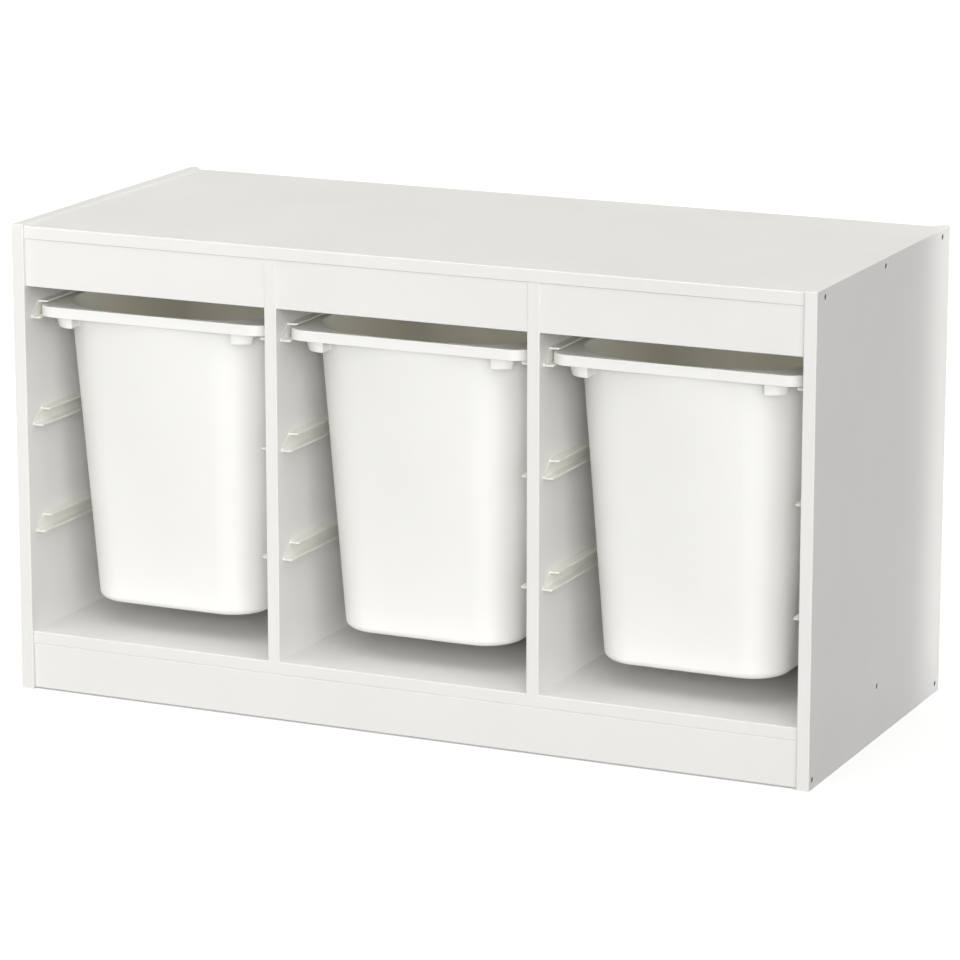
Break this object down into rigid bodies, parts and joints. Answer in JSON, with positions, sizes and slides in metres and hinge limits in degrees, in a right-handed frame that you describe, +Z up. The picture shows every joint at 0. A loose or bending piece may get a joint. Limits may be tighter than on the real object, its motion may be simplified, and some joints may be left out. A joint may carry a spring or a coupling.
{
  "type": "toy storage organizer with bins",
  "caption": "Low white board carcass with three open bays, plastic runners at three heights and deep lift-out plastic bins that slide forward on their rims.",
  "frame": {"origin": "on the floor, under the middle of the organizer's footprint", "axes": "+X to the organizer's right as seen from its front, -Y the way its open front faces and its bins slide out, +Z up"},
  "size_m": [0.99, 0.44, 0.557],
  "materials": {
    "white_board": "smooth warm white foil on particle board, satin",
    "back_sheet": "thin hardboard, painted white, satin",
    "runner_plastic": "moulded white plastic, satin",
    "bin_plastic": "moulded white polypropylene, satin",
    "screw_steel": "dark steel with a hexagon socket",
    "nail_steel": "bright steel",
    "dowel_wood": "bare beech"
  },
  "bodies": {
    "carcass": {"back_panel": "back_sheet", "back_panel_nails": "nail_steel", "bottom_panel": "white_board", "divider_dowels": "dowel_wood", "divider_left": "white_board", "divider_right": "white_board", "divider_screws": "screw_steel", "fascia_centre": "white_board", "fascia_dowels": "dowel_wood", "fascia_left": "white_board", "fascia_right": "white_board", "plinth_dowels": "dowel_wood", "plinth_front": "white_board", "plinth_rear": "white_board", "runner_centre_bay_bottom_left": "runner_plastic", "runner_centre_bay_bottom_right": "runner_plastic", "runner_centre_bay_middle_left": "runner_plastic", "runner_centre_bay_middle_right": "runner_plastic", "runner_centre_bay_top_left": "runner_plastic", "runner_centre_bay_top_right": "runner_plastic", "runner_left_bay_bottom_left": "runner_plastic", "runner_left_bay_bottom_right": "runner_plastic", "runner_left_bay_middle_left": "runner_plastic", "runner_left_bay_middle_right": "runner_plastic", "runner_left_bay_top_left": "runner_plastic", "runner_left_bay_top_right": "runner_plastic", "runner_right_bay_bottom_left": "runner_plastic", "runner_right_bay_bottom_right": "runner_plastic", "runner_right_bay_middle_left": "runner_plastic", "runner_right_bay_middle_right": "runner_plastic", "runner_right_bay_top_left": "runner_plastic", "runner_right_bay_top_right": "runner_plastic", "side_dowels": "dowel_wood", "side_panel_left": "white_board", "side_panel_right": "white_board", "side_screws_left": "screw_steel", "side_screws_right": "screw_steel", "top_panel": "white_board"},
    "bin_centre": {"bin_centre": "bin_plastic"},
    "bin_left": {"bin_left": "bin_plastic"},
    "bin_right": {"bin_right": "bin_plastic"}
  },
  "joints": [
    {"name": "bin_centre_slide", "type": "slide", "parent": "carcass", "child": "bin_centre", "axis": [0, -1, 0], "range_m": [0, 0.36]},
    {"name": "bin_left_slide", "type": "slide", "parent": "carcass", "child": "bin_left", "axis": [0, -1, 0], "range_m": [0, 0.36]},
    {"name": "bin_right_slide", "type": "slide", "parent": "carcass", "child": "bin_right", "axis": [0, -1, 0], "range_m": [0, 0.36]}
  ]
}
